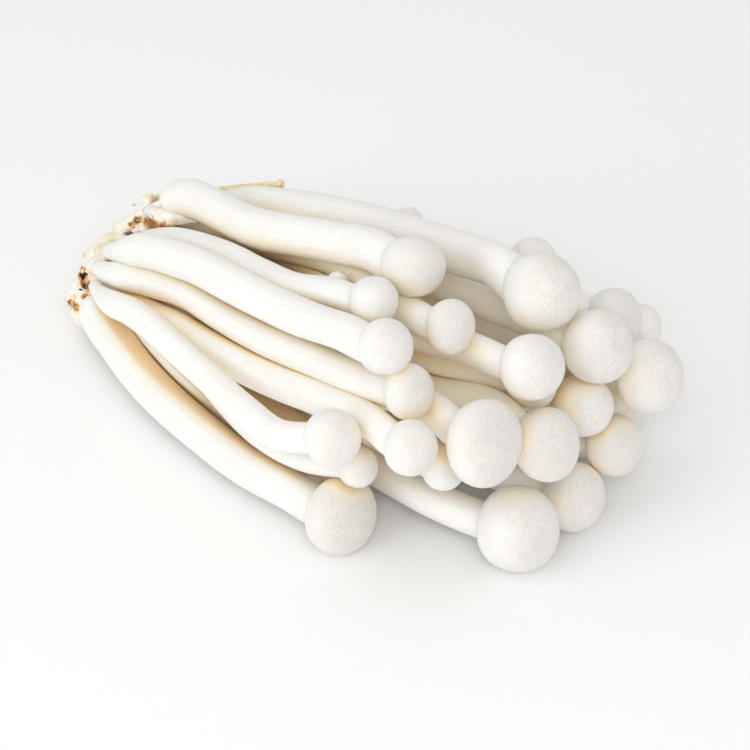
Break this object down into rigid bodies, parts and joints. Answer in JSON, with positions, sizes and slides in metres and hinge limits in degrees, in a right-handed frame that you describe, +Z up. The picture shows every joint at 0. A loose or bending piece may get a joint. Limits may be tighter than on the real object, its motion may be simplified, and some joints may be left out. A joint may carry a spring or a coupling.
{
  "type": "white beech mushroom bunch",
  "caption": "Bunch of long-stemmed white mushrooms with small round caps that fan out of one torn base, laid on its side.",
  "frame": {"origin": "on the table under the middle of the bunch's outline, seen from above", "axes": "+X from the torn base towards the caps, +Y to the side that the picture shows at the back, +Z up"},
  "size_m": [0.1584, 0.1066, 0.0675],
  "materials": {
    "flesh": "satin",
    "torn_base": "matte"
  },
  "bodies": {
    "root": {"mushroom_01": "flesh", "mushroom_02": "flesh", "mushroom_03": "flesh", "mushroom_04": "flesh", "mushroom_05": "flesh", "mushroom_06": "flesh", "mushroom_07": "flesh", "mushroom_08": "flesh", "mushroom_09": "flesh", "mushroom_10": "flesh", "mushroom_11": "flesh", "mushroom_12": "flesh", "mushroom_13": "flesh", "mushroom_14": "flesh", "mushroom_15": "flesh", "mushroom_16": "flesh", "mushroom_17": "flesh", "mushroom_18": "flesh", "mushroom_19": "flesh", "mushroom_20": "flesh", "mushroom_21": "flesh", "mushroom_22": "flesh", "mushroom_23": "flesh", "mushroom_24": "flesh", "mushroom_25": "flesh", "mushroom_26": "flesh", "mushroom_27": "flesh", "mushroom_28": "flesh", "mushroom_29": "flesh", "mushroom_30": "flesh", "mushroom_31": "flesh", "mushroom_32": "flesh", "mushroom_33": "flesh", "mushroom_34": "flesh", "mushroom_35": "flesh", "mushroom_36": "flesh", "mushroom_37": "flesh", "mushroom_38": "flesh", "mushroom_39": "flesh", "mushroom_40": "flesh", "thin_stem": "torn_base", "base": "torn_base"}
  },
  "joints": []
}
